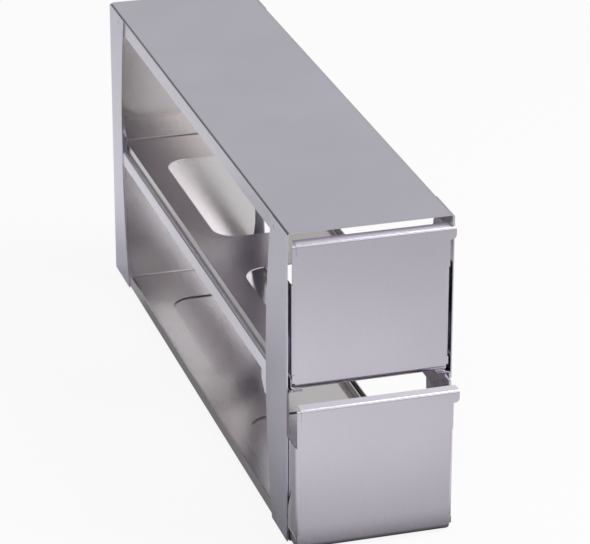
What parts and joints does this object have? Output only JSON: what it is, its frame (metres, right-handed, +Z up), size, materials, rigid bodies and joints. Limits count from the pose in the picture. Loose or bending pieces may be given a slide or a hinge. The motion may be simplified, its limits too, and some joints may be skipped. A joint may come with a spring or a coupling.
{
  "type": "freezer storage rack",
  "caption": "Tall narrow sheet-steel freezer rack: an open frame of panels, posts and rails that holds sliding drawers, one above the other, for cryogenic storage boxes.",
  "frame": {"origin": "middle of the underside of the bottom panel, the face that the rack stands on", "axes": "+Z up, -Y the front from which the drawers pull out, +X to the right for someone who faces the drawers"},
  "size_m": [0.1428, 0.6223, 0.276],
  "materials": {
    "frame_steel": "satin stainless steel sheet",
    "front_steel": "satin stainless steel sheet",
    "tray_steel": "satin stainless steel sheet"
  },
  "bodies": {
    "frame": {"top_panel": "frame_steel", "bottom_panel": "frame_steel", "front_left_post": "frame_steel", "front_right_post": "frame_steel", "rear_left_post": "frame_steel", "rear_right_post": "frame_steel", "left_mid_rail": "frame_steel", "right_mid_rail": "frame_steel"},
    "upper_drawer": {"upper_drawer_front": "front_steel", "upper_drawer_tray": "tray_steel"},
    "lower_drawer": {"lower_drawer_front": "front_steel", "lower_drawer_tray": "tray_steel"}
  },
  "joints": [
    {"name": "upper_drawer_slide", "type": "slide", "parent": "frame", "child": "upper_drawer", "axis": [0, -1, 0], "range_m": [0, 0.48]},
    {"name": "lower_drawer_slide", "type": "slide", "parent": "frame", "child": "lower_drawer", "axis": [0, -1, 0], "range_m": [-0.021, 0.459]}
  ]
}
